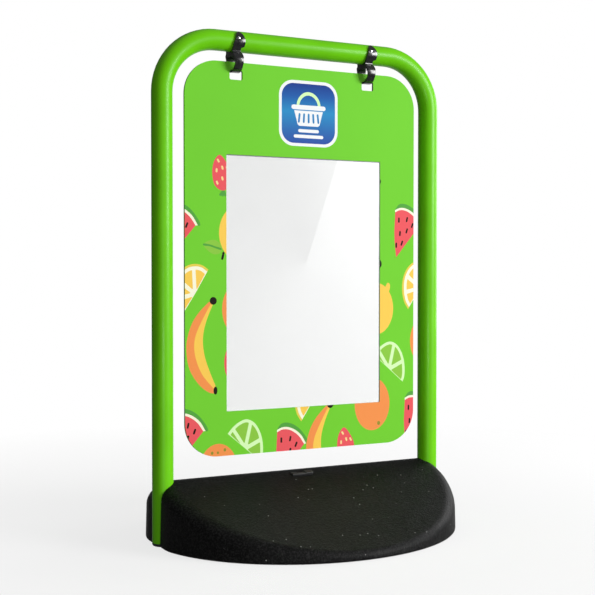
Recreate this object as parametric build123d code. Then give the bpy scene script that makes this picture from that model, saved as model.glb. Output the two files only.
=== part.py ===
from build123d import *
import math
import os

# Free-standing swinging pavement sign.
# Units mm, +Z up, X along the width, front face towards -Y.
# Origin: floor level, centre of the footprint.

os.makedirs("parts", exist_ok=True)

# ---------------------------------------------------------------- dimensions
# base block
BASE_A = 314.0          # plan ellipse half axis along X
BASE_B = 274.5          # plan ellipse half axis along Y
BASE_END_X = 308.0      # flat end faces, at floor level
BASE_CORNER_R = 26.0    # plan corner between end face and curved side
BASE_DRAFT = 1.5        # degrees, walls lean in towards the top
ROOF_APEX = 122.6       # where the two roof slopes would meet
ROOF_SLOPE = 0.390      # fall per mm away from the ridge
RIDGE_HALF = 9.0        # half width of the rounded ridge
RIDGE_TOP = 120.55
TOP_R_END = 28.0        # rounding between wall and roof at the ends
TOP_R_FRONT = 9.0       # and at the middle of the long sides
BOTTOM_R = 5.0
QUARTER_POINTS = 14     # outline points in each quarter of the plan
GROOVE_W = 41.0         # U groove that takes each leg
GROOVE_EDGE = 2.5
POCKET_X0, POCKET_X1 = 198.0, 253.0   # bolt access pockets, underside
POCKET_HALF_Y = 24.0
POCKET_H = 86.0

# hoop
TUBE_R = 20.0
TUBE_WALL = 2.0
LEG_X = 295.0
BEND_R = 106.0
TOP_Z = 951.2           # centre line of the top run
LEG_Z0 = 6.5            # where the tube stops, above its end cap

# end caps
CAP_Z0 = 0.6
CAP_PLUG = 18.0

# fixings
BOLT_Z = (34.0, 66.0)
BOLT_D = 8.0
BOLT_HEAD_AF = 13.0
BOLT_HEAD_H = 5.3
WASHER_OD = 16.0
WASHER_T = 1.6
INSERT_OD = 11.0
INSERT_L = 9.0

# panel
PANEL_W = 510.0
PANEL_X = 4.0           # the panel hangs a little to one side on its rings
PANEL_Z0 = 159.0
PANEL_Z1 = 912.0
PANEL_R = 66.0
CORE_T = 3.4            # moulded core with a poster recess in each side
RECESS_Y = 0.9          # recess floor, measured from mid-plane
FACE_T = 0.8            # printed face sheet
HANGER_X = 146.0
SLOT_SHIFT = 1.0        # slot centres stand this far to +X of the hangers
SLOT_W = 27.0
SLOT_Z0 = 878.6
WIN_X = 2.0             # window centre, to the right of the panel's centre as seen
WIN_HALF_W = 171.5
WIN_Z0, WIN_Z1 = 244.0, 736.0
INSERT_T = 0.3
COVER_T = 0.8
INSERT_SHORT = 1.8      # the insert stops short of the window's top and right edges
SHEET_GAP = 0.05
COVER_GAP = 0.35

# hangers
RING_C = 914.0          # centre of the ring, and the axis the panel swings on
RING_RI = 18.0
RING_RO = 22.0
RING_CLEAR = 8.0        # open height of the ring above its centre
SADDLE_RO = 24.0
SADDLE_GAP = 0.05
RIVET_HEAD_D = 5.6
RIVET_D = 4.0
RIVET_ANGLE = 8.0       # degrees above level, measured round the tube
RIVET_DX = -2.0         # from the hanger's middle

# clip beside the ridge
CLIP_X = -13.0
CLIP_Y = -22.0

half_t = CORE_T / 2 + FACE_T
margin_r = RING_RI - 0.2
SLOT_Z1 = RING_C - math.sqrt(margin_r ** 2 - half_t ** 2)

nodes = {}


def block(x0, x1, y0, y1, z0, z1):
    return Pos((x0 + x1) / 2, (y0 + y1) / 2, (z0 + z1) / 2) * Box(x1 - x0, y1 - y0, z1 - z0)


def rod(p0, p1, r):
    a, b = Vector(*p0), Vector(*p1)
    pl = Plane(origin=a, z_dir=(b - a))
    return extrude(pl * Circle(r), (b - a).length)


def try_fillet(solid, picker, radii, label):
    for r in radii:
        try:
            out = fillet(picker(solid), r)
            out = out if isinstance(out, (Part, Solid, Compound)) else Part(out)
            if out.is_valid and len(out.solids()) == 1:
                print(label, "fillet", r)
                return out
        except Exception as e:
            print(label, "fillet", r, "failed:", str(e)[:60])
    print(label, "left sharp")
    return solid


# ---------------------------------------------------------------- base block
# Each half is a stack of closed outlines from the floor up: a rounded foot, a
# slightly leaning wall, and a rounding into the roof slope that is wide at the
# ends and tight along the front. Two mirrored halves meet at the ridge.
lean = math.tan(math.radians(BASE_DRAFT))
plan = Sketch() + Ellipse(BASE_A, BASE_B)
plan = plan & Rectangle(2 * BASE_END_X, 4 * BASE_B)
plan = fillet(plan.vertices(), BASE_CORNER_R)
outline = plan.faces()[0].outer_wire()
dense = [outline.position_at(i / 4000) for i in range(4000)]
quarter = sorted([(q.X, q.Y) for q in dense if q.X >= 0 and q.Y >= 0], key=lambda v: math.atan2(v[1], v[0]))
quarter = [(BASE_END_X, 0.0)] + quarter + [(0.0, BASE_B)]
run = [0.0]
for i in range(1, len(quarter)):
    run.append(run[-1] + math.dist(quarter[i - 1], quarter[i]))
picked = []
for k in range(QUARTER_POINTS):
    want = run[-1] * (k + 0.5) / QUARTER_POINTS
    j = next(i for i in range(1, len(run)) if run[i] >= want)
    f = (want - run[j - 1]) / (run[j] - run[j - 1])
    picked.append(tuple(quarter[j - 1][a] + f * (quarter[j][a] - quarter[j - 1][a]) for a in (0, 1)))
loop = picked + [(-x, y) for x, y in picked[::-1]] + [(-x, -y) for x, y in picked] + [(x, -y) for x, y in picked[::-1]]
rim = []
for x, y in loop:
    nrm = Vector(x / BASE_A ** 2, y / BASE_B ** 2, 0).normalized()
    rim.append((x, y, nrm.X, nrm.Y))


def roof_z(y):
    return ROOF_APEX + ROOF_SLOPE * y


def wall_point(x, y, nx, ny, z, inset=0.0):
    d = z * lean + inset
    return Vector(x - nx * d, y - ny * d, z)


def foot_point(x, y, nx, ny, deg):
    t = math.radians(deg)
    return wall_point(x, y, nx, ny, BOTTOM_R * (1 - math.cos(t)), BOTTOM_R * (1 - math.sin(t)))


def shoulder_point(x, y, nx, ny, t):
    r = TOP_R_FRONT + (TOP_R_END - TOP_R_FRONT) * min(1.0, abs(x) / BASE_END_X) ** 2.5
    c = wall_point(x, y, nx, ny, roof_z(y) / (1 + ROOF_SLOPE * ny * lean))
    low = wall_point(x, y, nx, ny, c.Z - r)
    high = Vector(c.X - nx * r, c.Y - ny * r, roof_z(c.Y - ny * r))
    k0, k1, k2 = (1 - t) ** 2, 2 * 0.78 * t * (1 - t), t * t
    return (low * k0 + c * k1 + high * k2) * (1 / (k0 + k1 + k2))


def ring_wire(fn, value):
    return Wire([Edge.make_spline([fn(*q, value) for q in rim], periodic=True)])


sections = [ring_wire(foot_point, d) for d in (0, 30, 60, 90)]
sections += [ring_wire(shoulder_point, i / 7) for i in range(8)]
half_base = (Solid.make_loft(sections, True) & block(-400, 400, -800, 0, -50, 600)).solids()[0]
base = half_base + mirror(half_base, Plane.XZ)
with BuildPart() as ridge_cut:
    with BuildSketch(Plane.YZ.offset(-400)):
        with BuildLine():
            zr = roof_z(-RIDGE_HALF)
            ThreePointArc((-RIDGE_HALF, zr), (0, RIDGE_TOP), (RIDGE_HALF, zr))
            Polyline((RIDGE_HALF, zr), (RIDGE_HALF + 6, zr + 30), (-RIDGE_HALF - 6, zr + 30), (-RIDGE_HALF, zr))
        make_face()
    extrude(amount=800)
base -= ridge_cut.part
print("base halves joined", base.is_valid, len(base.solids()), round(base.volume / 1000, 1))
alpha = math.atan(ROOF_SLOPE)

for s in (-1, 1):
    slot_in = LEG_X - GROOVE_W / 2
    groove = rod((s * LEG_X, 0, -5), (s * LEG_X, 0, 140), GROOVE_W / 2)
    groove += block(min(s * LEG_X, s * 360), max(s * LEG_X, s * 360), -GROOVE_W / 2, GROOVE_W / 2, -5, 140)
    base -= groove
    px0, px1 = sorted((s * POCKET_X0, s * POCKET_X1))
    pocket = block(px0, px1, -POCKET_HALF_Y, POCKET_HALF_Y, -1, POCKET_H)
    pocket = fillet(pocket.edges().filter_by(Axis.Z), 8)
    base -= pocket
    for z in BOLT_Z:
        base -= rod((s * (POCKET_X1 - 2), 0, z), (s * (LEG_X - 10), 0, z), BOLT_D / 2 + 0.5)

# rounded mouth on the groove's long edges
def groove_edges(s):
    out = []
    for e in s.edges():
        c = e.center()
        b = e.bounding_box()
        if abs(abs(c.Y) - GROOVE_W / 2) < 0.3 and abs(c.X) > 305 and b.max.Z - b.min.Z > 30:
            out.append(e)
    return out


base = try_fillet(base, groove_edges, (GROOVE_EDGE, 1.5), "groove mouth")

# pockets for the pegs of the ridge clip, square to the slope
slope = Plane(origin=(CLIP_X, CLIP_Y, ROOF_APEX + ROOF_SLOPE * CLIP_Y),
              x_dir=(1, 0, 0), z_dir=(0, -math.sin(alpha), math.cos(alpha)))
for dx in (-14.0, 14.0):
    base -= slope * (Pos(dx, 0, -6.0) * Cylinder(3.1, 14.0))
nodes["base_block"] = base

# ridge clip: a low bar with a boss at one end, on two pegs
bar = slope * (Pos(-6.5, -1.5, 0) * extrude(RectangleRounded(33.0, 6.5, 1.8), 4.2))
lip = slope * (Pos(-16.5, 3.0, 0) * extrude(RectangleRounded(13.0, 6.0, 1.8), 2.8))
boss = slope * (Pos(14.0, 0.8, 0) * extrude(RectangleRounded(18.0, 11.0, 3.0), 5.4))
boss = try_fillet(boss, lambda s: s.faces().sort_by(lambda f: f.center().Z)[-1].edges(), (1.5, 1.0), "clip boss")
bar = try_fillet(bar, lambda s: s.faces().sort_by(lambda f: f.center().Z)[-1].edges(), (1.2, 0.8), "clip bar")
clip = bar + lip + boss
for dx in (-14.0, 14.0):
    clip += slope * (Pos(dx, 0, -5.5) * Cylinder(3.05, 12.0))
nodes["ridge_clip"] = clip

# ---------------------------------------------------------------- hoop
with BuildPart() as hoop_bp:
    with BuildLine() as hl:
        l1 = Line((-LEG_X, 0, LEG_Z0), (-LEG_X, 0, TOP_Z - BEND_R))
        c45 = math.sqrt(0.5) * BEND_R
        a1 = ThreePointArc(l1 @ 1, (-LEG_X + BEND_R - c45, 0, TOP_Z - BEND_R + c45), (-LEG_X + BEND_R, 0, TOP_Z))
        l2 = Line(a1 @ 1, (LEG_X - BEND_R, 0, TOP_Z))
        a2 = ThreePointArc(l2 @ 1, (LEG_X - BEND_R + c45, 0, TOP_Z - BEND_R + c45), (LEG_X, 0, TOP_Z - BEND_R))
        l3 = Line(a2 @ 1, (LEG_X, 0, LEG_Z0))
    with BuildSketch(Plane(origin=(-LEG_X, 0, LEG_Z0), z_dir=(0, 0, 1))):
        Circle(TUBE_R)
        Circle(TUBE_R - TUBE_WALL, mode=Mode.SUBTRACT)
    sweep()
hoop = hoop_bp.part
for s in (-1, 1):
    for z in BOLT_Z:
        hoop -= rod((s * (LEG_X - TUBE_R - 3), 0, z), (s * (LEG_X - TUBE_R + 6), 0, z), INSERT_OD / 2 - 1.0)

ra = math.radians(RIVET_ANGLE)
rivets = []
for hx in (-HANGER_X, HANGER_X):
    for fy in (-1, 1):
        d = Vector(0, fy * math.cos(ra), math.sin(ra))
        c = Vector(hx + RIVET_DX, 0, TOP_Z)
        p_in = c + d * (TUBE_R - TUBE_WALL - 4.0)
        p_face = c + d * (SADDLE_RO - 0.2)
        hoop -= rod(tuple(c + d * 10), tuple(c + d * 30), RIVET_D / 2 + 0.05)
        shank = rod(tuple(p_in), tuple(p_face), RIVET_D / 2)
        head = rod(tuple(c + d * (SADDLE_RO - 0.3)), tuple(c + d * (SADDLE_RO + 1.3)), RIVET_HEAD_D / 2)
        rim = head.edges().sort_by(lambda e: (e.center() - c).dot(d))[-1]
        head = fillet(rim, 1.2)
        tail = rod(tuple(c + d * (TUBE_R - TUBE_WALL - 4.0)), tuple(c + d * (TUBE_R - TUBE_WALL - 0.45)), 3.0)
        rivets.append((shank + head + tail).solids()[0])
nodes["hoop_frame"] = hoop
nodes["hanger_rivets"] = Compound(children=rivets)

# end caps: a rounded foot the size of the tube and a ribbed plug inside it
for s, nm in ((-1, "left"), (1, "right")):
    foot = rod((s * LEG_X, 0, CAP_Z0), (s * LEG_X, 0, LEG_Z0), TUBE_R)
    foot = fillet(foot.edges().sort_by(Axis.Z)[0], 3.0)
    plug = rod((s * LEG_X, 0, LEG_Z0 - 0.5), (s * LEG_X, 0, LEG_Z0 + CAP_PLUG), TUBE_R - TUBE_WALL - 0.6)
    for k in range(2):
        z = LEG_Z0 + 5 + 8 * k
        plug += rod((s * LEG_X, 0, z), (s * LEG_X, 0, z + 2), TUBE_R - TUBE_WALL - 0.05)
    plug -= rod((s * LEG_X, 0, LEG_Z0 + 1.0), (s * LEG_X, 0, LEG_Z0 + CAP_PLUG + 1), TUBE_R - TUBE_WALL - 3.0)
    nodes["leg_end_cap_" + nm] = foot + plug

# ---------------------------------------------------------------- leg fixings
bolts, washers, inserts = [], [], []
for s in (-1, 1):
    for z in BOLT_Z:
        xw = s * POCKET_X1
        xin = s * (LEG_X - TUBE_R)
        washer = rod((xw, 0, z), (xw - s * WASHER_T, 0, z), WASHER_OD / 2)
        washer -= rod((xw + s, 0, z), (xw - s * 4, 0, z), BOLT_D / 2 + 0.2)
        washers.append(washer.solids()[0])
        head_pl = Plane(origin=(xw - s * WASHER_T, 0, z), x_dir=(0, 1, 0), z_dir=(-s, 0, 0))
        head = extrude(head_pl * RegularPolygon(BOLT_HEAD_AF / 2 / math.cos(math.pi / 6), 6), BOLT_HEAD_H)
        shank = rod((xw - s * WASHER_T, 0, z), (xin + s * 9.5, 0, z), BOLT_D / 2)
        bolts.append((head + shank).solids()[0])
        # threaded insert riveted in the tube wall
        body = rod((xin + s * 0.7, 0, z), (xin + s * INSERT_L, 0, z), INSERT_OD / 2 - 1.05)
        tailf = rod((xin + s * (TUBE_WALL + 1.1), 0, z), (xin + s * (TUBE_WALL + 2.9), 0, z), INSERT_OD / 2)
        ins = body + tailf
        ins -= rod((xin - s, 0, z), (xin + s * (INSERT_L + 1), 0, z), BOLT_D / 2 + 0.02)
        inserts.append(ins.solids()[0])
nodes["leg_bolts"] = Compound(children=bolts)
nodes["leg_washers"] = Compound(children=washers)
nodes["leg_threaded_inserts"] = Compound(children=inserts)


# ---------------------------------------------------------------- hangers
def hanger(hx):
    def disc(zc, r, half=12.0):
        return rod((hx - half, 0, zc), (hx + half, 0, zc), r)
    ring = disc(RING_C, RING_RO)
    saddle = disc(TOP_Z, SADDLE_RO)
    body = ring + saddle
    # soften the waist between saddle and ring
    body = try_fillet(body, lambda s: [e for e in s.edges() if e.length > 20 and abs(e.center().X - hx) < 1
                                       and RING_C < e.center().Z < TOP_Z and abs(e.center().Y) > 5], (5.0, 3.0), "waist")
    body -= disc(TOP_Z, TUBE_R + SADDLE_GAP, 14)
    inner = disc(RING_C, RING_RI, 14) - block(hx - 20, hx + 20, -30, 30, RING_C + RING_CLEAR, RING_C + 40)
    inner = try_fillet(inner, lambda s: [e for e in s.edges() if e.length > 20 and abs(e.center().X - hx) < 1
                                         and e.center().Z > RING_C + 5 and abs(e.center().Y) > 4], (1.2, 0.8), "inner corner")
    body -= inner
    # tapered underside of the leaves: thin towards the tips
    # front view outline, symmetric front to back
    pts_r = [(-0.5, 967.8), (3.8, 965.2), (8.0, 960.0), (10.8, 953.0), (11.2, 945.5), (10.0, 938.5)]
    pts_low = [(4.4, 931.0), (7.4, 925.5), (8.9, 918.0), (8.4, 908.0), (8.2, 898.0), (8.4, 888.0)]
    pts_l = [(-8.4, 888.0), (-8.2, 898.0), (-8.0, 908.0), (-9.4, 918.0), (-12.2, 926.0), (-13.6, 933.0), (-12.8, 940.0),
             (-10.6, 948.0), (-8.2, 956.0), (-5.0, 963.5), (-0.5, 967.8)]
    with BuildPart() as o:
        with BuildSketch(Plane(origin=(hx, 60, 0), x_dir=(1, 0, 0), z_dir=(0, -1, 0))):
            with BuildLine():
                Spline(*pts_r)
                Line(pts_r[-1], (4.8, 936.8))
                Line((4.8, 936.8), pts_low[0])
                Spline(*pts_low)
                Line(pts_low[-1], pts_l[0])
                Spline(*pts_l)
            make_face()
        extrude(amount=120)
    body = body & o.part
    body = body.solids().sort_by(lambda q: q.volume)[-1]

    for fy in (-1, 1):
        d = Vector(0, fy * math.cos(ra), math.sin(ra))
        c = Vector(hx + RIVET_DX, 0, TOP_Z)
        body -= rod(tuple(c + d * 10), tuple(c + d * 30), RIVET_D / 2 + 0.05)
        body -= rod(tuple(c + d * (SADDLE_RO - 0.3)), tuple(c + d * 30), RIVET_HEAD_D / 2 + 0.1)
    return body


nodes["hanger_left"] = hanger(-HANGER_X)
nodes["hanger_right"] = hanger(HANGER_X)


# ---------------------------------------------------------------- panel
def sheet_outline(y0, y1):
    w, h = PANEL_W, PANEL_Z1 - PANEL_Z0
    pl = Plane(origin=(PANEL_X, y1, (PANEL_Z0 + PANEL_Z1) / 2), x_dir=(1, 0, 0), z_dir=(0, -1, 0))
    s = extrude(pl * RectangleRounded(w, h, PANEL_R), y1 - y0)
    for hx in (-HANGER_X + SLOT_SHIFT, HANGER_X + SLOT_SHIFT):
        sp = Plane(origin=(hx, y1 + 1, (SLOT_Z0 + SLOT_Z1) / 2), x_dir=(1, 0, 0), z_dir=(0, -1, 0))
        s -= extrude(sp * RectangleRounded(SLOT_W, SLOT_Z1 - SLOT_Z0, 3.0), y1 - y0 + 2)
    return s


def window(side, y0, y1, inset=0.0, r=2.0, short=0.0):
    """The window's rectangle, on the front (side 1) or the rear (side -1)."""
    w = 2 * (WIN_HALF_W - inset) - short
    h = WIN_Z1 - WIN_Z0 - 2 * inset - short
    cx = PANEL_X + side * (WIN_X - short / 2)
    cz = (WIN_Z0 + WIN_Z1 - short) / 2
    lo, hi = sorted((-side * y0, -side * y1))
    pl = Plane(origin=(cx, hi, cz), x_dir=(1, 0, 0), z_dir=(0, -1, 0))
    return extrude(pl * RectangleRounded(w, h, r), hi - lo)


c2 = CORE_T / 2
nodes["panel_core"] = sheet_outline(-c2, c2) - window(1, RECESS_Y, half_t + 1) - window(-1, RECESS_Y, half_t + 1)
nodes["panel_front_sheet"] = sheet_outline(-half_t, -c2) - window(1, c2 - 1, half_t + 1)
nodes["panel_rear_sheet"] = sheet_outline(c2, half_t) - window(-1, c2 - 1, half_t + 1)
y_ins = RECESS_Y + INSERT_T
nodes["front_poster"] = window(1, RECESS_Y, y_ins, 0.1, 1.5, INSERT_SHORT)
nodes["rear_poster"] = window(-1, RECESS_Y, y_ins, 0.1, 1.5, INSERT_SHORT)
y_c0 = y_ins + SHEET_GAP
y_c1 = y_c0 + COVER_T
nodes["front_clear_cover"] = window(1, y_c0, y_c1, COVER_GAP, 1.5)
nodes["rear_clear_cover"] = window(-1, y_c0, y_c1, COVER_GAP, 1.5)
print("swing axis z", RING_C, "slot", SLOT_Z0, round(SLOT_Z1, 3), "cover hinge y", y_c1, "z", WIN_Z1 - COVER_GAP)

for name, shape in nodes.items():
    export_step(shape, f"parts/{name}.step")
    bb = shape.bounding_box()
    print(f"{name:24s} solids {len(shape.solids())} vol {shape.volume/1000:9.2f} cm3  valid {shape.is_valid}",
          [round(v, 1) for v in (bb.min.X, bb.min.Y, bb.min.Z, bb.max.X, bb.max.Y, bb.max.Z)])
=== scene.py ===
import bpy
import bmesh
import math
from mathutils import Vector, Matrix
from mathutils.geometry import delaunay_2d_cdt


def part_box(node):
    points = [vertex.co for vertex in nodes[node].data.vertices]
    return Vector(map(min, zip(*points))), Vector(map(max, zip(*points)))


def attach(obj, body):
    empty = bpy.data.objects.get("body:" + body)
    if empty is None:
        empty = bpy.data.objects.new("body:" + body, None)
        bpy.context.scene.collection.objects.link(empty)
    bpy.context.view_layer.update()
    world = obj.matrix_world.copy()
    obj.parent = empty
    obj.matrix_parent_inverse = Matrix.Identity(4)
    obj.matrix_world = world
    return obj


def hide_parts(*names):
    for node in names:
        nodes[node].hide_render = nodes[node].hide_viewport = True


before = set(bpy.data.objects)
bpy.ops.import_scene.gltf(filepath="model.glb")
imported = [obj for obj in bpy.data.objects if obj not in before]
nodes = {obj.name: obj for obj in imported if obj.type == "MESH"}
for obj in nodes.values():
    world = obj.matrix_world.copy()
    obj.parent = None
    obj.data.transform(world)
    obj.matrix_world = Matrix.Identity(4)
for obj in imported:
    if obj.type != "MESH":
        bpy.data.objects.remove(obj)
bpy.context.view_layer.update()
scene = bpy.context.scene

# ------------------------------------------------------------------ camera
cam_data = bpy.data.cameras.new("camera")
cam_data.lens = 69.07
cam_data.sensor_width = 36.0
cam_data.sensor_fit = "HORIZONTAL"
cam_data.dof.use_dof = False
cam_data.clip_start = 0.05
cam_data.clip_end = 60.0
cam = bpy.data.objects.new("camera", cam_data)
scene.collection.objects.link(cam)
cam.location = (-1.0484, -2.0028, 0.5153)
aim = Vector((0.45963, 0.88778, -0.02415))
cam.rotation_euler = aim.to_track_quat("-Z", "Y").to_euler()
scene.camera = cam

scene.view_settings.view_transform = "Standard"
scene.view_settings.look = "None"


# ------------------------------------------------------------------ node helpers
class Mat:
    """A small wrapper for building one procedural material."""

    def __init__(self, name):
        self.m = bpy.data.materials.new(name)
        self.m.use_nodes = True
        self.t = self.m.node_tree
        self.t.nodes.clear()
        self.out = self.t.nodes.new("ShaderNodeOutputMaterial")
        self.p = self.t.nodes.new("ShaderNodeBsdfPrincipled")
        self.t.links.new(self.p.outputs[0], self.out.inputs["Surface"])
        self.co = self.t.nodes.new("ShaderNodeTexCoord").outputs["Object"]

    def n(self, kind, **ins):
        node = self.t.nodes.new(kind)
        for k, v in ins.items():
            self.put(node, k, v)
        return node

    def put(self, node, k, v):
        key = k.replace("_", " ")
        sock = node.inputs[key] if key in node.inputs else node.inputs[k]
        if isinstance(v, bpy.types.NodeSocket):
            self.t.links.new(v, sock)
        else:
            sock.default_value = v

    def noise(self, scale, detail=3.0, rough=0.55, vec=None, distortion=0.0):
        nd = self.n("ShaderNodeTexNoise", Scale=scale, Detail=detail, Roughness=rough, Distortion=distortion)
        self.t.links.new(vec or self.co, nd.inputs["Vector"])
        return nd.outputs["Fac"]

    def ramp(self, fac, stops, interp="LINEAR"):
        nd = self.t.nodes.new("ShaderNodeValToRGB")
        nd.color_ramp.interpolation = interp
        els = nd.color_ramp.elements
        while len(els) > 1:
            els.remove(els[-1])
        for i, (pos, col) in enumerate(stops):
            e = els[0] if i == 0 else els.new(pos)
            e.position = pos
            if isinstance(col, (int, float)):
                col = (col, col, col)
            e.color = (*col[:3], 1.0)
        self.t.links.new(fac, nd.inputs["Fac"])
        return nd.outputs["Color"]

    def rng(self, fac, a, b, lo=0.0, hi=1.0):
        nd = self.t.nodes.new("ShaderNodeMapRange")
        nd.inputs["From Min"].default_value = lo
        nd.inputs["From Max"].default_value = hi
        nd.inputs["To Min"].default_value = a
        nd.inputs["To Max"].default_value = b
        self.t.links.new(fac, nd.inputs["Value"])
        return nd.outputs["Result"]

    def math(self, op, a, b=None, c=None, clamp=False):
        nd = self.t.nodes.new("ShaderNodeMath")
        nd.operation = op
        nd.use_clamp = clamp
        for i, v in enumerate((a, b, c)):
            if v is None:
                continue
            if isinstance(v, bpy.types.NodeSocket):
                self.t.links.new(v, nd.inputs[i])
            else:
                nd.inputs[i].default_value = v
        return nd.outputs[0]

    def mix(self, fac, a, b, blend="MIX"):
        nd = self.t.nodes.new("ShaderNodeMix")
        nd.data_type = "RGBA"
        nd.blend_type = blend
        for key, v in (("Factor", fac), ("A", a), ("B", b)):
            sock = [s for s in nd.inputs if s.name == key and (s.type == "VALUE") == (key == "Factor") and s.type in ("VALUE", "RGBA")][0]
            if isinstance(v, bpy.types.NodeSocket):
                self.t.links.new(v, sock)
            elif key == "Factor":
                sock.default_value = v
            else:
                sock.default_value = (*v[:3], 1.0)
        return [s for s in nd.outputs if s.type == "RGBA"][0]

    def xyz(self, vec=None):
        nd = self.t.nodes.new("ShaderNodeSeparateXYZ")
        self.t.links.new(vec or self.co, nd.inputs[0])
        return nd.outputs

    def bump(self, height, dist, strength=1.0, normal=None):
        nd = self.n("ShaderNodeBump", Strength=strength, Distance=dist)
        self.t.links.new(height, nd.inputs["Height"])
        if normal is not None:
            self.t.links.new(normal, nd.inputs["Normal"])
        return nd.outputs[0]

    def set(self, **ins):
        for k, v in ins.items():
            self.put(self.p, k, v)
        return self


def vary(base, amount):
    lo = tuple(max(0.0, c * (1 - amount)) for c in base)
    hi = tuple(min(1.0, c * (1 + amount)) for c in base)
    return lo, hi


# ------------------------------------------------------------------ materials
def make_base_plastic():
    m = Mat("base_moulding")
    grain = m.noise(330.0, 3.0, 0.65)
    pebble = m.noise(150.0, 2.0, 0.5)
    cloud = m.noise(9.0, 4.0, 0.6)
    body = m.ramp(cloud, [(0.30, (0.0036, 0.0036, 0.0036)), (0.55, (0.0050, 0.0050, 0.0050)), (0.75, (0.0068, 0.0068, 0.0068))])
    fine = m.ramp(grain, [(0.40, 0.15), (0.50, 0.8), (0.61, 3.6)])
    col = m.mix(1.0, body, fine, "MULTIPLY")
    # sparse pale flecks of other plastic in the recycled mix
    vor = m.n("ShaderNodeTexVoronoi", Scale=118.0, Randomness=1.0)
    m.t.links.new(m.co, vor.inputs["Vector"])
    dot = m.rng(vor.outputs["Distance"], 1.0, 0.0, 0.10, 0.17)
    pick = m.xyz(vor.outputs["Color"])[0]
    gate = m.math("GREATER_THAN", pick, 0.945)
    fleck = m.math("MULTIPLY", dot, gate, clamp=True)
    col = m.mix(fleck, col, (0.30, 0.30, 0.29))
    # pale scuffing low on the walls, where it stands on the ground
    z = m.xyz()[2]
    low = m.rng(z, 1.0, 0.0, 0.0, 0.035)
    scuff = m.ramp(m.noise(55.0, 6.0, 0.7, distortion=0.6), [(0.56, 0.0), (0.72, 1.0)])
    wear = m.math("MULTIPLY", low, scuff, clamp=True)
    col = m.mix(m.math("MULTIPLY", wear, 0.55), col, (0.055, 0.054, 0.052))
    rough = m.rng(m.math("ADD", m.math("MULTIPLY", grain, 0.6), m.math("MULTIPLY", cloud, 0.4)), 0.40, 0.62, 0.30, 0.70)
    n1 = m.bump(pebble, 0.0011, 0.55)
    n2 = m.bump(grain, 0.0011, 0.9, n1)
    m.set(Base_Color=col, Roughness=rough, Normal=n2)
    m.p.inputs["Specular IOR Level"].default_value = 0.14
    return m.m


def make_tube_paint():
    m = Mat("green_tube")
    orange_peel = m.noise(520.0, 2.0, 0.5)
    drift = m.noise(14.0, 3.0, 0.5)
    lo, hi = vary((0.150, 0.600, 0.0020), 0.05)
    col = m.ramp(drift, [(0.30, lo), (0.70, hi)])
    # scuffs near the feet, where the legs rub in the grooves
    z = m.xyz()[2]
    low = m.rng(z, 1.0, 0.0, 0.02, 0.16)
    scratch = m.ramp(m.noise(160.0, 8.0, 0.75, distortion=1.2), [(0.66, 0.0), (0.74, 1.0)])
    mark = m.math("MULTIPLY", low, scratch, clamp=True)
    col = m.mix(m.math("MULTIPLY", mark, 0.35), col, (0.11, 0.33, 0.015))
    rough = m.rng(m.noise(60.0, 4.0, 0.6), 0.34, 0.44, 0.3, 0.7)
    m.set(Base_Color=col, Roughness=rough, Normal=m.bump(orange_peel, 0.00010, 0.4))
    m.p.inputs["Specular IOR Level"].default_value = 0.20
    m.p.inputs["Coat Weight"].default_value = 0.05
    m.p.inputs["Coat Roughness"].default_value = 0.12
    return m.m


def make_gloss_black():
    m = Mat("hanger_plastic")
    flow = m.noise(240.0, 3.0, 0.55)
    cloud = m.noise(60.0, 3.0, 0.5)
    col = m.ramp(cloud, [(0.3, (0.008, 0.008, 0.009)), (0.7, (0.015, 0.015, 0.016))])
    rough = m.rng(flow, 0.16, 0.34, 0.3, 0.7)
    m.set(Base_Color=col, Roughness=rough, Normal=m.bump(flow, 0.0002, 0.45))
    m.p.inputs["Coat Weight"].default_value = 0.35
    m.p.inputs["Coat Roughness"].default_value = 0.08
    return m.m


def make_satin_black():
    m = Mat("black_moulding")
    grain = m.noise(700.0, 3.0, 0.6)
    cloud = m.noise(45.0, 3.0, 0.5)
    col = m.ramp(cloud, [(0.3, (0.013, 0.013, 0.0135)), (0.7, (0.026, 0.026, 0.027))])
    m.set(Base_Color=col, Roughness=m.rng(grain, 0.38, 0.58, 0.3, 0.7), Normal=m.bump(grain, 0.0003, 0.6))
    return m.m


def make_metal(name, base, lo, hi, scale):
    m = Mat(name)
    tone = m.noise(scale, 5.0, 0.7)
    a, b = vary(base, 0.10)
    m.set(Base_Color=m.ramp(tone, [(0.3, a), (0.7, b)]), Roughness=m.rng(tone, lo, hi, 0.3, 0.7),
          Normal=m.bump(m.noise(scale * 4, 2.0, 0.6), 0.00008, 0.5))
    m.p.inputs["Metallic"].default_value = 1.0
    return m.m


def make_print(name, base, rough=(0.58, 0.68), spread=0.02, mottle=0.0, mottle_col=None):
    """One ink on the satin film: faint tone drift and the film's own fine texture."""
    m = Mat(name)
    drift = m.noise(7.0, 2.0, 0.5)
    lo, hi = vary(base, spread)
    col = m.ramp(drift, [(0.25, lo), (0.75, hi)])
    if mottle:
        blot = m.ramp(m.noise(170.0, 4.0, 0.65), [(0.50, 0.0), (0.80, 1.0)])
        col = m.mix(m.math("MULTIPLY", blot, mottle), col, mottle_col)
    film = m.noise(900.0, 2.0, 0.5)
    m.set(Base_Color=col, Roughness=m.rng(film, rough[0], rough[1], 0.3, 0.7), Normal=m.bump(film, 0.00005, 0.35))
    m.p.inputs["Specular IOR Level"].default_value = 0.10
    return m.m


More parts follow.
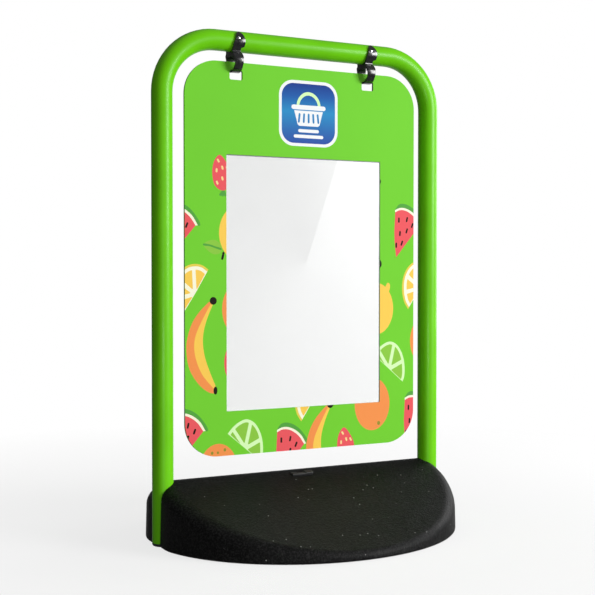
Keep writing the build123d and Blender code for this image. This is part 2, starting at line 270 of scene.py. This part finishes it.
def make_badge_blue():
    m = Mat("print_badge_blue")
    z = m.xyz()[2]
    t = m.rng(z, 0.0, 1.0, 0.766, 0.882)
    film = m.noise(900.0, 2.0, 0.5)
    col = m.ramp(t, [(0.00, (0.030, 0.085, 0.380)), (0.22, (0.028, 0.150, 0.440)), (0.52, (0.026, 0.270, 0.560)),
                     (0.78, (0.016, 0.110, 0.400)), (1.0, (0.012, 0.045, 0.265))])
    m.set(Base_Color=col, Roughness=m.rng(film, 0.56, 0.66, 0.3, 0.7), Normal=m.bump(film, 0.00005, 0.35))
    m.p.inputs["Specular IOR Level"].default_value = 0.10
    return m.m


def make_poster():
    """Blank insert: paper white with a very pale fan of tone round its middle."""
    m = Mat("poster_paper")
    x, y, z = m.xyz()
    ang = m.math("ARCTAN2", m.math("SUBTRACT", z, 0.530), m.math("SUBTRACT", x, 0.008))
    # turn so that the step in tone falls just right of straight up
    turned = m.math("SUBTRACT", ang, math.radians(71.0))
    t = m.math("FRACT", m.math("DIVIDE", turned, 2 * math.pi))
    tone = m.ramp(t, [(0.0, 0.815), (0.10, 0.805), (0.28, 0.850), (0.5, 0.915), (0.75, 0.94), (0.93, 0.93), (0.995, 0.925), (1.0, 0.925)])
    fibre = m.noise(800.0, 6.0, 0.7)
    col = m.mix(m.rng(fibre, 0.0, 0.05, 0.3, 0.7), tone, (0.80, 0.80, 0.79))
    m.set(Base_Color=col, Roughness=m.rng(fibre, 0.55, 0.75, 0.3, 0.7), Normal=m.bump(fibre, 0.00006, 0.4))
    m.p.inputs["Specular IOR Level"].default_value = 0.25
    return m.m


def make_clear():
    m = Mat("clear_cover")
    film = m.noise(300.0, 3.0, 0.5)
    smear = m.noise(11.0, 5.0, 0.65, distortion=0.8)
    m.set(Base_Color=(0.96, 0.975, 0.97, 1.0), Roughness=m.rng(smear, 0.12, 0.26, 0.3, 0.7), Normal=m.bump(film, 0.00003, 0.2))
    m.p.inputs["Alpha"].default_value = 0.12
    m.p.inputs["Specular IOR Level"].default_value = 0.5
    return m.m


def make_core_and_painted_shade():
    m = Mat("core_plastic")
    # dark grey is partly the core plastic's own colour and partly painted shade: where the core shows in the gap round
    # the poster window it reads as a thin dark shadow line
    grain = m.noise(500.0, 4.0, 0.6)
    m.set(Base_Color=m.ramp(grain, [(0.3, (0.035, 0.040, 0.034)), (0.7, (0.060, 0.066, 0.058))]),
          Roughness=m.rng(grain, 0.5, 0.7, 0.3, 0.7), Normal=m.bump(grain, 0.0002, 0.5))
    return m.m


MAT = {
    "base": make_base_plastic(), "tube": make_tube_paint(), "gloss_black": make_gloss_black(), "satin_black": make_satin_black(),
    "rivet": make_metal("rivet_metal", (0.86, 0.86, 0.87), 0.16, 0.30, 300.0),
    "zinc": make_metal("zinc_steel", (0.62, 0.62, 0.58), 0.28, 0.48, 220.0),
    "poster": make_poster(), "clear": make_clear(), "core": make_core_and_painted_shade(),
}
INK = {
    "green": make_print("print_green", (0.172, 0.625, 0.033)),
    "red": make_print("print_red", (0.840, 0.104, 0.119), mottle=0.10, mottle_col=(0.70, 0.06, 0.08)),
    "orange": make_print("print_orange", (0.913, 0.300, 0.080), mottle=0.10, mottle_col=(0.80, 0.22, 0.04)),
    "yellow": make_print("print_yellow", (0.965, 0.610, 0.095), mottle=0.08, mottle_col=(0.86, 0.48, 0.05)),
    "peel": make_print("print_peel", (0.800, 0.630, 0.085)),
    "rind": make_print("print_rind", (0.091, 0.376, 0.055), mottle=0.18, mottle_col=(0.055, 0.26, 0.035)),
    "leaf": make_print("print_leaf", (0.262, 0.578, 0.058), mottle=0.10, mottle_col=(0.20, 0.48, 0.04)),
    "cream": make_print("print_cream", (0.965, 0.940, 0.730)),
    "pith": make_print("print_pith", (0.690, 0.980, 0.490)),
    "dark": make_print("print_dark", (0.012, 0.010, 0.006)),
    "olive": make_print("print_olive", (0.290, 0.290, 0.035)),
    "seed_pale": make_print("print_seed_pale", (0.940, 0.690, 0.290)),
    "white": make_print("print_white", (0.90, 0.91, 0.92)),
    "badge": make_badge_blue(),
    "back": MAT["core"],
}
INK_ORDER = list(INK)


def dress(node, mat):
    o = nodes[node]
    o.data.materials.clear()
    o.data.materials.append(mat)


for nm, mt in (("base_block", "base"), ("ridge_clip", "satin_black"), ("hoop_frame", "tube"), ("hanger_rivets", "rivet"),
               ("leg_end_cap_left", "satin_black"), ("leg_end_cap_right", "satin_black"), ("leg_bolts", "zinc"),
               ("leg_washers", "zinc"), ("leg_threaded_inserts", "zinc"), ("hanger_left", "gloss_black"),
               ("hanger_right", "gloss_black"), ("panel_core", "core"), ("front_poster", "poster"), ("rear_poster", "poster"),
               ("front_clear_cover", "clear"), ("rear_clear_cover", "clear")):
    dress(nm, MAT[mt])
for nm in ("panel_front_sheet", "panel_rear_sheet"):
    dress(nm, INK["green"])


# ------------------------------------------------------------------ printed face sheets
# Flat artwork in panel coordinates: x to the right and z up from the panel's centre, in mm.
def smooth(points, closed=False, step=5):
    """Catmull-Rom curve through the points."""
    p = list(points)
    n = len(p)
    out = []
    spans = n if closed else n - 1
    for i in range(spans):
        p1, p2 = p[i], p[(i + 1) % n]
        p0 = p[(i - 1) % n] if closed or i > 0 else (2 * p1[0] - p2[0], 2 * p1[1] - p2[1])
        p3 = p[(i + 2) % n] if closed or i + 2 < n else (2 * p2[0] - p1[0], 2 * p2[1] - p1[1])
        for k in range(step):
            t = k / step
            t2, t3 = t * t, t * t * t
            out.append(tuple(0.5 * (2 * p1[a] + (p2[a] - p0[a]) * t + (2 * p0[a] - 5 * p1[a] + 4 * p2[a] - p3[a]) * t2
                                    + (3 * p1[a] - p0[a] - 3 * p2[a] + p3[a]) * t3) for a in (0, 1)))
    if not closed:
        out.append(p[-1])
    return out


def ellipse(cx, cz, rx, rz, turn=0.0, n=56):
    c, s = math.cos(math.radians(turn)), math.sin(math.radians(turn))
    return [(cx + rx * math.cos(a) * c - rz * math.sin(a) * s, cz + rx * math.cos(a) * s + rz * math.sin(a) * c)
            for a in (2 * math.pi * i / n for i in range(n))]


def pill(cx, cz, length, width, turn):
    """A short stroke with round ends; turn is measured from upright, clockwise."""
    r = width / 2
    h = length / 2 - r
    pts = [(r * math.cos(a), h + r * math.sin(a)) for a in (math.pi * i / 7 for i in range(8))]
    pts += [(r * math.cos(a), -h + r * math.sin(a)) for a in (math.pi + math.pi * i / 7 for i in range(8))]
    c, s = math.cos(math.radians(-turn)), math.sin(math.radians(-turn))
    return [(cx + x * c - z * s, cz + x * s + z * c) for x, z in pts]


def rounded(cx, cz, w, h, r, n=12):
    out = []
    for sx, sz, a0 in ((1, 1, 0), (-1, 1, 90), (-1, -1, 180), (1, -1, 270)):
        for i in range(n + 1):
            a = math.radians(a0 + 90 * i / n)
            out.append((cx + sx * (w / 2 - r) + r * math.cos(a), cz + sz * (h / 2 - r) + r * math.sin(a)))
    return out


art = []          # (outline, ink), later entries print over earlier ones


def melon(dx, dz):
    arc = smooth([(-2.2, 93.0), (9.0, 97.5), (22.0, 97.0), (35.0, 91.0), (47.0, 81.0), (57.5, 66.0)], step=7)
    mid = [(x * 1.0 + 1.2 * i / len(arc), z * 1.0 + 4.6) for i, (x, z) in enumerate(arc)]
    cream = smooth([(-2.6, 97.5), (9.0, 102.0), (23.0, 101.5), (38.0, 95.0), (51.5, 83.5), (62.0, 66.5)], step=7)
    rind = smooth([(-1.0, 100.5), (6.0, 108.5), (17.0, 111.0), (31.0, 107.5), (46.0, 98.0), (58.0, 84.5), (66.0, 72.0), (66.5, 66.0), (62.0, 66.0)], step=7)
    sh = lambda pts: [(x + dx, z + dz) for x, z in pts]
    art.append((sh(rind + cream[::-1]), "rind"))
    art.append((sh(cream + arc[::-1]), "cream"))
    left = smooth([(0.0, 0.0), (-4.2, 45.0), (-2.2, 93.0)], step=8)
    art.append((sh(left[:-1] + arc), "red"))
    for x, z, t in ((6.9, 77.0, 0), (26.5, 78.5, 12), (39.5, 66.5, 22), (9.5, 49.5, 4), (26.0, 55.0, 16), (0.5, 25.0, 2), (14.0, 29.5, 20)):
        art.append((sh(pill(x, z, 11.0, 3.9, t)), "dark"))


def citrus(cx, cz, outline, seps, ink_rim, ink_pith, ink_seg, rim, pith, wall):
    """A cut half slice: outline runs from one end of the straight cut to the other, round the outside."""
    pts = smooth(outline, step=8)
    sh = lambda q: [(x + cx, z + cz) for x, z in q]

    def shrink(d):
        out = []
        for x, z in pts:
            r = math.hypot(x, z)
            k = max(r - d, 1.0) / r
            out.append((x * k, z * k))
        return out
    if ink_rim:
        art.append((sh(pts + [(0.0, 0.0)]), ink_rim))
    art.append((sh(shrink(rim) + [(0.0, 0.0)]), ink_pith))
    inner = shrink(rim + pith)
    ang = [math.atan2(z, x) for x, z in inner]
    for i in range(1, len(ang)):
        while ang[i] - ang[i - 1] > math.pi:
            ang[i] -= 2 * math.pi
        while ang[i] - ang[i - 1] < -math.pi:
            ang[i] += 2 * math.pi
    a0, a1 = ang[0], ang[-1]
    s = 1 if a1 > a0 else -1
    cuts = [a0] + [math.radians(q) for q in seps] + [a1]
    for k in range(len(cuts) - 1):
        b, e = cuts[k], cuts[k + 1]
        wb = wall / 2 if k > 0 else 0.0
        we = wall / 2 if k < len(cuts) - 2 else 0.0
        if k == 0:
            wb = 0.4
        if k == len(cuts) - 2:
            we = 0.4
        nb = (-math.sin(b) * s, math.cos(b) * s)
        ne = (math.sin(e) * s, -math.cos(e) * s)
        keep = [(x, z) for (x, z), q in zip(inner, ang) if (q - b) * s > 0 and (e - q) * s > 0
                and x * nb[0] + z * nb[1] >= wb and x * ne[0] + z * ne[1] >= we]
        if len(keep) < 2:
            continue
        # inner corner: where the two wall lines cross
        det = nb[0] * ne[1] - nb[1] * ne[0]
        if abs(det) < 1e-6:
            continue
        px = (wb * ne[1] - nb[1] * we) / det
        pz = (nb[0] * we - wb * ne[0]) / det
        corner = (px + 2.0 * (keep[len(keep) // 2][0] - px) / 40.0, pz + 2.0 * (keep[len(keep) // 2][1] - pz) / 40.0)
        poly = [corner] + keep
        # round the corners a little
        soft = []
        m = len(poly)
        for j in range(m):
            p0, p1, p2 = poly[j - 1], poly[j], poly[(j + 1) % m]
            v1 = (p0[0] - p1[0], p0[1] - p1[1])
            v2 = (p2[0] - p1[0], p2[1] - p1[1])
            l1, l2 = math.hypot(*v1), math.hypot(*v2)
            cosv = (v1[0] * v2[0] + v1[1] * v2[1]) / max(l1 * l2, 1e-9)
            if cosv > -0.80:
                d1, d2 = min(3.0, l1 * 0.45), min(3.0, l2 * 0.45)
                for u in (0.0, 0.33, 0.67, 1.0):
                    q1 = (p1[0] + v1[0] / l1 * d1 * (1 - u), p1[1] + v1[1] / l1 * d1 * (1 - u))
                    q2 = (p1[0] + v2[0] / l2 * d2 * u, p1[1] + v2[1] / l2 * d2 * u)
                    soft.append((q1[0] * (1 - u) + q2[0] * u, q1[1] * (1 - u) + q2[1] * u))
            else:
                soft.append(p1)
        art.append((sh(soft), ink_seg))


def banana(dx, dz):
    outer = [(-199.5, -80.5), (-208.4, -83.1), (-231.1, -105.9), (-244.7, -129.5), (-252.4, -160.0), (-250.5, -193.5),
             (-242.0, -217.5), (-226.8, -238.5), (-210.9, -251.5), (-199.6, -255.8), (-194.0, -255.0)]
    split = [(-199.8, -84.0), (-203.9, -87.4), (-220.9, -116.7), (-233.4, -143.6), (-236.9, -166.6), (-232.5, -192.1),
             (-220.1, -219.9), (-199.6, -244.0), (-192.5, -249.5)]
    inner = [(-196.5, -83.0), (-200.4, -90.6), (-210.7, -114.6), (-217.6, -139.0), (-218.8, -161.9), (-214.3, -188.4),
             (-204.1, -216.3), (-193.8, -240.1), (-190.8, -248.0)]
    sh = lambda q: [(x + dx, z + dz) for x, z in q]
    o, s, i = smooth(outer), smooth(split), smooth(inner)
    art.append((sh(o + s[::-1]), "orange"))
    art.append((sh(s + i[::-1]), "yellow"))
    art.append((sh(ellipse(-197.7, -79.5, 7.2, 7.4, n=28)), "dark"))
    art.append((sh(ellipse(-193.4, -250.7, 4.0, 7.6, n=28)), "dark"))


def strawberry(dx, dz):
    body = smooth([(0.0, 0.0), (-9.5, -12.5), (-13.2, -33.0), (-9.5, -54.0), (-1.0, -64.0), (9.0, -67.0), (20.0, -62.0),
                   (27.0, -48.0), (24.5, -28.0), (16.0, -12.5), (7.5, -2.0)], closed=True)
    sh = lambda q: [(x + dx, z + dz) for x, z in q]
    for t, r in ((10, 11), (-22, 9), (38, 9)):
        art.append((sh(pill(10.0 + 5 * math.sin(math.radians(-t)), -71.0 + 0 * r, 15.0, 5.0, t)), "rind"))
    art.append((sh(body), "red"))
    for x, z, t in ((-0.5, -10.5, -35), (8.0, -23.5, -18), (-4.0, -29.0, 2), (8.0, -44.0, -12), (-2.8, -52.5, -25), (18.0, -24.0, -30), (19.0, -42.0, -8)):
        art.append((sh(pill(x, z, 8.0, 4.0, t)), "seed_pale"))


def plain_orange(cx, cz, dots):
    art.append((ellipse(cx, cz, 41.5, 54.0, n=72), "orange"))
    for x, z, r in dots:
        art.append((ellipse(x, z, r, r * 1.15, n=18), "olive"))


def lemon(cx, cz):
    art.append((smooth([(cx + 22, cz + 40), (cx + 25, cz + 48), (cx + 29, cz + 53), (cx + 34, cz + 49), (cx + 33, cz + 38), (cx + 27, cz + 30)], closed=True), "yellow"))
    art.append((ellipse(cx, cz, 42.0, 53.0, n=72), "yellow"))


# left column
strawberry(-186.3, 197.5)
melon(-291.0, -3.0)
lemon(-143.5, 50.0)
art.append((smooth([(-217.5, 27.5), (-206.0, 35.0), (-193.0, 36.0), (-182.5, 29.0), (-179.0, 19.0), (-184.0, 11.0), (-196.0, 9.0), (-208.0, 15.5)], closed=True), "leaf"))
art.append((smooth([(-217.0, 29.3), (-204.0, 27.6), (-192.0, 23.8), (-181.0, 20.6), (-181.5, 17.2), (-192.5, 20.4), (-205.0, 24.2), (-217.5, 25.6)], closed=True), "rind"))
art.append((pill(-177.6, 6.2, 16.0, 4.6, 14), "dark"))
lemon_arc = None
HALF = [(27.6, 46.0), (14.0, 54.5), (-3.0, 56.5), (-20.0, 51.0), (-34.0, 37.0), (-42.5, 16.0), (-43.5, -8.0), (-38.5, -29.0), (-29.0, -44.0)]
citrus(-235.0, -66.0, HALF, (93, 143, 195), "peel", "cream", "yellow", 4.5, 6.5, 6.0)
banana(0.0, 0.0)
plain_orange(-138.0, -96.0, ())
art.append((ellipse(-152.6, -199.0, 22.5, 39.0, n=56), "red"))
melon(-276.0, -393.0)
plain_orange(-188.0, -407.0, ((-174.0, -365.5, 2.7), (-188.5, -370.0, 2.3), (-200.5, -370.0, 2.7)))
# bottom
LIME = [(-37.0, 31.0), (-26.0, 43.0), (-12.0, 52.5), (3.0, 56.5), (18.0, 50.0), (29.0, 36.0), (35.5, 19.0), (38.0, 0.0), (37.0, -17.0), (33.0, -27.5)]
citrus(-131.0, -366.0, LIME, (124, 77, 25), None, "pith", "leaf", 0.0, 6.0, 6.0)
melon(-60.0, -432.0)
citrus(20.0, -277.0, HALF, (93, 143, 195), "peel", "cream", "yellow", 4.5, 6.5, 6.0)
banana(254.5, -211.0)
strawberry(85.9, -339.6)
plain_orange(155.0, -295.0, ((170.4, -335.0, 3.6),))
# right column
melon(236.0, -384.0)
art.append((ellipse(169.0, 160.0, 6.0, 6.5, n=24), "dark"))
art.append((ellipse(171.0, -8.4, 6.0, 8.6, n=24), "dark"))
melon(211.7, 5.1)
citrus(270.5, -58.0, HALF, (93, 143, 195), "peel", "cream", "yellow", 4.5, 6.5, 6.0)
lemon(163.0, -100.0)
citrus(195.4, -224.8, LIME, (124, 77, 25), None, "pith", "leaf", 0.0, 6.0, 6.0)
plain_orange(288.0, -168.0, ())

# badge: a plain basket over two blank bars
BX, BZ = 7.5, 287.5
art.append((rounded(BX, BZ, 131.0, 129.0, 31.0), "white"))
art.append((rounded(BX, BZ, 119.0, 117.0, 25.5), "badge"))
handle = []
for rr in (27.0, 21.0):
    arc = [(BX + rr * math.cos(a), 300.0 + rr * 1.12 * math.sin(a)) for a in (math.pi * i / 24 for i in range(25))]
    handle += arc if rr == 27.0 else arc[::-1]
art.append((handle, "pith"))
art.append((rounded(BX, 299.5, 76.0, 9.0, 4.4, n=6), "white"))
art.append(([(BX - 32, 293.0), (BX + 32, 293.0), (BX + 24.5, 266.0), (BX + 21.0, 263.0), (BX - 21.0, 263.0), (BX - 24.5, 266.0)], "white"))
for k in range(-2, 3):
    art.append((pill(BX + 10.5 * k, 278.5, 19.0, 4.2, -3.2 * k), "badge"))
art.append((rounded(BX, 253.5, 46.0, 6.4, 3.1, n=5), "white"))
art.append((rounded(BX, 242.5, 66.0, 6.4, 3.1, n=5), "white"))


def ccw(poly):
    a = sum(poly[i - 1][0] * poly[i][1] - poly[i][0] * poly[i - 1][1] for i in range(len(poly)))
    return poly if a > 0 else poly[::-1]


def node_extent(name):
    lo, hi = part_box(name)
    return [v * 1000.0 for v in lo], [v * 1000.0 for v in hi]


ART_X, ART_Z = 4.5, 536.0       # where the artwork's own origin sits in the object's frame


def printed_sheet(name, cad, flip):
    """The face sheet with its artwork as coplanar regions of ink: one closed thin solid."""
    lo, hi = node_extent(cad)
    w, h = hi[0] - lo[0], hi[2] - lo[2]
    cx, cz = (lo[0] + hi[0]) / 2, (lo[2] + hi[2]) / 2
    outer = rounded(cx, cz, w, h, 66.0, n=28)
    holes = [rounded(cx + 2.0, 490.0, 343.0, 492.0, 2.0, n=5)]
    for sx in (-145.0, 147.0):
        vx = 2 * cx - sx if flip else sx
        holes.append(rounded(vx, (878.6 + 896.376) / 2, 27.0, 896.376 - 878.6, 3.0, n=6))
    verts, faces = [], []

    def add(poly):
        poly = ccw([p for i, p in enumerate(poly) if math.dist(p, poly[i - 1]) > 0.02])
        b = len(verts)
        verts.extend(Vector(p) for p in poly)
        faces.append(list(range(b, b + len(poly))))
    add(outer)
    for hpoly in holes:
        add(hpoly)
    first_art = len(faces)
    for poly, ink in art:
        add([(x + ART_X, z + ART_Z) for x, z in poly])
    vo, eo, fo, ov, oe, of_ = delaunay_2d_cdt(verts, [], faces, 1, 0.001)
    bm = bmesh.new()
    front_y, back_y = (lo[1], hi[1]) if not flip else (hi[1], lo[1])
    real_x = [2 * cx - v[0] if flip else v[0] for v in vo]
    vf = [bm.verts.new((x / 1000, front_y / 1000, v[1] / 1000)) for x, v in zip(real_x, vo)]
    vb = [bm.verts.new((x / 1000, back_y / 1000, v[1] / 1000)) for x, v in zip(real_x, vo)]
    hole_ids = set(range(1, first_art))
    edge_use = {}
    for f, src in zip(fo, of_):
        src = set(src)
        if 0 not in src or src & hole_ids:
            continue
        tops = [s for s in src if s >= first_art]
        ink = art[max(tops) - first_art][1] if tops else "green"
        a = [vo[i] for i in f]
        area = (a[1] - a[0]).cross(a[2] - a[0])
        if abs(area) < 1e-7:
            continue
        idx = list(f) if area > 0 else list(f)[::-1]
        fr = idx if not flip else idx
        face = bm.faces.new([vf[i] for i in fr])
        face.material_index = INK_ORDER.index(ink)
        face2 = bm.faces.new([vb[i] for i in reversed(fr)])
        face2.material_index = INK_ORDER.index("back")
        for i in range(3):
            e = (idx[i], idx[(i + 1) % 3])
            edge_use[e] = edge_use.get(e, 0) + 1
    for (i, j) in list(edge_use):
        if (j, i) not in edge_use:
            side = bm.faces.new([vf[j], vf[i], vb[i], vb[j]])
            side.material_index = INK_ORDER.index("green")
    for v in [v for v in bm.verts if not v.link_faces]:
        bm.verts.remove(v)
    bmesh.ops.recalc_face_normals(bm, faces=bm.faces)
    me = bpy.data.meshes.new(name)
    bm.to_mesh(me)
    bm.free()
    for ink in INK_ORDER:
        me.materials.append(INK[ink])
    ob = bpy.data.objects.new(name, me)
    scene.collection.objects.link(ob)
    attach(ob, "panel")
    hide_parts(cad)
    return ob


printed_sheet("printed_front_sheet", "panel_front_sheet", False)
printed_sheet("printed_rear_sheet", "panel_rear_sheet", True)


# ------------------------------------------------------------------ hangers with softened edges
def softened(cad, name, mat, width, segs, body, angle=35.0):
    src = nodes[cad]
    me = src.data.copy()
    me.name = name
    ob = bpy.data.objects.new(name, me)
    scene.collection.objects.link(ob)
    bm = bmesh.new()
    bm.from_mesh(me)
    bmesh.ops.remove_doubles(bm, verts=bm.verts, dist=1e-6)
    bmesh.ops.dissolve_degenerate(bm, edges=bm.edges, dist=1e-6)
    bmesh.ops.dissolve_limit(bm, angle_limit=math.radians(0.6), verts=bm.verts, edges=bm.edges)
    bm.to_mesh(me)
    bm.free()
    me.materials.clear()
    me.materials.append(mat)
    bv = ob.modifiers.new("bevel", "BEVEL")
    bv.width = width
    bv.segments = segs
    bv.limit_method = "ANGLE"
    bv.angle_limit = math.radians(angle)
    bv.harden_normals = False
    bpy.context.view_layer.update()
    dg = bpy.context.evaluated_depsgraph_get()
    new = bpy.data.meshes.new_from_object(ob.evaluated_get(dg))
    ob.modifiers.clear()
    ob.data = new
    for p in new.polygons:
        p.use_smooth = True
    new.set_sharp_from_angle(angle=math.radians(30.0))
    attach(ob, body)
    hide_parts(cad)
    return ob


for side in ("left", "right"):
    softened("hanger_" + side, "hanger_moulding_" + side, MAT["gloss_black"], 0.0009, 3, "frame")

# ------------------------------------------------------------------ floor and light
def floor_material():
    """Pale floor: a thin matt veil near the object that fades into the backdrop."""
    m = Mat("floor_pale")
    cloud = m.noise(0.8, 2.0, 0.5)
    x, y, z = m.xyz()
    r = m.math("SQRT", m.math("ADD", m.math("MULTIPLY", x, x), m.math("MULTIPLY", y, y)))
    veil = m.rng(r, 0.24, 0.0, 0.45, 1.6)
    m.set(Base_Color=m.ramp(cloud, [(0.3, (0.93, 0.93, 0.93)), (0.7, (0.95, 0.95, 0.95))]),
          Roughness=m.rng(m.noise(90.0), 0.80, 0.90, 0.3, 0.7), Alpha=veil)
    m.p.inputs["Specular IOR Level"].default_value = 0.0
    return m.m


bm = bmesh.new()
bmesh.ops.create_grid(bm, x_segments=8, y_segments=8, size=3.0)
me = bpy.data.meshes.new("floor")
bm.to_mesh(me)
bm.free()
floor = bpy.data.objects.new("floor", me)
floor.location = (0, 0, -0.0002)
me.materials.append(floor_material())
scene.collection.objects.link(floor)


def area(name, loc, target, size, power, color=(1, 1, 1)):
    ld = bpy.data.lights.new(name, "AREA")
    ld.shape = "RECTANGLE"
    ld.size, ld.size_y = size
    ld.energy = power
    ld.color = color
    ob = bpy.data.objects.new(name, ld)
    ob.location = loc
    ob.rotation_euler = (Vector(target) - Vector(loc)).to_track_quat("-Z", "Y").to_euler()
    scene.collection.objects.link(ob)
    return ob


area("key", (3.15, -3.45, 1.65), (0.0, 0.0, 0.5), (2.1, 2.1), 247.0)
area("front_fill", (-0.8, -3.2, 0.14), (0.0, 0.0, 0.6), (1.2, 0.25), 19.0)
area("side", (1.75, 0.35, 0.75), (0.2, 0.0, 0.15), (0.45, 0.9), 9.0)

# soft surroundings: dim all round, bright low down behind the object, plain white backdrop
world = bpy.data.worlds.new("studio")
world.use_nodes = True
scene.world = world
wt = world.node_tree
wt.nodes.clear()
wo = wt.nodes.new("ShaderNodeOutputWorld")
tc = wt.nodes.new("ShaderNodeTexCoord")
sp = wt.nodes.new("ShaderNodeSeparateXYZ")
wt.links.new(tc.outputs["Generated"], sp.inputs[0])


def wrange(sock, a, b, lo, hi):
    nd = wt.nodes.new("ShaderNodeMapRange")
    nd.interpolation_type = "SMOOTHSTEP"
    nd.inputs["From Min"].default_value = lo
    nd.inputs["From Max"].default_value = hi
    nd.inputs["To Min"].default_value = a
    nd.inputs["To Max"].default_value = b
    wt.links.new(sock, nd.inputs["Value"])
    return nd.outputs["Result"]


def wmath(op, a, b):
    nd = wt.nodes.new("ShaderNodeMath")
    nd.operation = op
    for i, v in enumerate((a, b)):
        if isinstance(v, bpy.types.NodeSocket):
            wt.links.new(v, nd.inputs[i])
        else:
            nd.inputs[i].default_value = v
    return nd.outputs[0]


behind = wrange(sp.outputs["Y"], 0.0, 1.0, 0.25, 0.80)
low = wrange(sp.outputs["Z"], 1.0, 0.0, 0.12, 0.42)
right = wrange(sp.outputs["X"], 0.0, 1.0, -0.20, 0.25)
above = wrange(sp.outputs["Z"], 0.0, 1.0, 0.30, 0.95)
level = wmath("ADD", wmath("MULTIPLY", wmath("MULTIPLY", wmath("MULTIPLY", behind, right), low), 0.90), wmath("ADD", wmath("MULTIPLY", above, 0.22), 0.085))
bg = wt.nodes.new("ShaderNodeBackground")
bg.inputs["Color"].default_value = (1.0, 1.0, 1.0, 1.0)
wt.links.new(level, bg.inputs["Strength"])
bg2 = wt.nodes.new("ShaderNodeBackground")
bg2.inputs["Color"].default_value = (1.0, 1.0, 1.0, 1.0)
bg2.inputs["Strength"].default_value = 1.0
lp = wt.nodes.new("ShaderNodeLightPath")
mx = wt.nodes.new("ShaderNodeMixShader")
wt.links.new(lp.outputs["Is Camera Ray"], mx.inputs[0])
wt.links.new(bg.outputs[0], mx.inputs[1])
wt.links.new(bg2.outputs[0], mx.inputs[2])
wt.links.new(mx.outputs[0], wo.inputs["Surface"])
